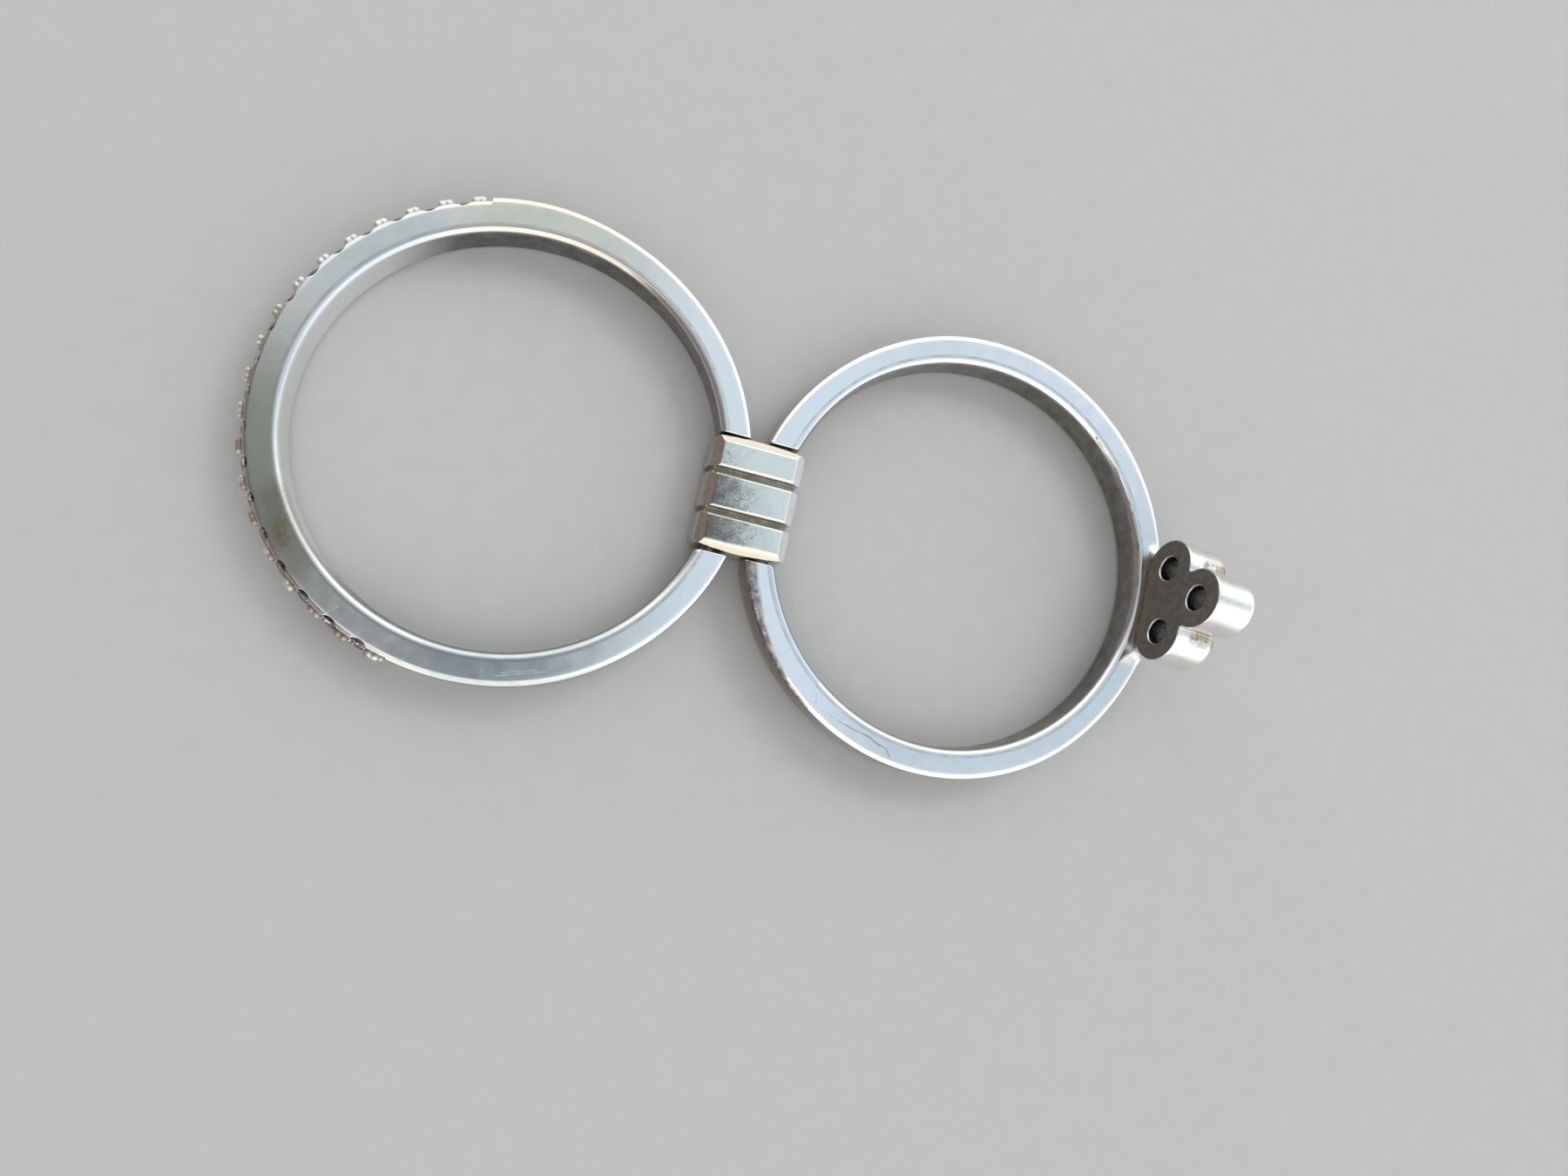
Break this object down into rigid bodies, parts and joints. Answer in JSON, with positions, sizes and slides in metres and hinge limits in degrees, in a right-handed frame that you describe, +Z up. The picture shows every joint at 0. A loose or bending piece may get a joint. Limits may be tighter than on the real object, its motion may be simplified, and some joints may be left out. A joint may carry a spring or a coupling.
{
  "type": "folding double ring",
  "caption": "Folding silver ring: finger hoops hinged in a short ribbed link, one hoop set with a row of small stones, the other with a lobed stone setting on its side edge.",
  "frame": {"origin": "on the surface that the open ring lies on, under the middle between the two hinge pins", "axes": "+Z up from that surface, +X from the link towards the hoop with the lobed setting, Y along the hinge pins"},
  "size_m": [0.043, 0.0205, 0.0066],
  "materials": {
    "silver": "polished silver with fine scratches and some tarnish",
    "pin_silver": "drawn silver wire, satin",
    "row_stone": "small clear faceted stones",
    "cluster_stone": "clear faceted stones"
  },
  "bodies": {
    "link": {"link": "silver"},
    "stone_half": {"pave_hoop": "silver", "pave_row": "row_stone", "pave_pin": "pin_silver"},
    "lobed_half": {"trefoil_hoop": "silver", "trefoil_pin": "pin_silver", "cluster_stone_1": "cluster_stone", "cluster_stone_2": "cluster_stone", "cluster_stone_3": "cluster_stone"}
  },
  "joints": [
    {"name": "stone_fold", "type": "hinge", "parent": "link", "child": "stone_half", "pos_m": [-0.00115, 0, 0.0011], "axis": [0, -1, 0], "range_deg": [-80, 89]},
    {"name": "lobed_fold", "type": "hinge", "parent": "link", "child": "lobed_half", "pos_m": [0.00115, 0, 0.0011], "axis": [0, 1, 0], "range_deg": [-80, 89]}
  ]
}
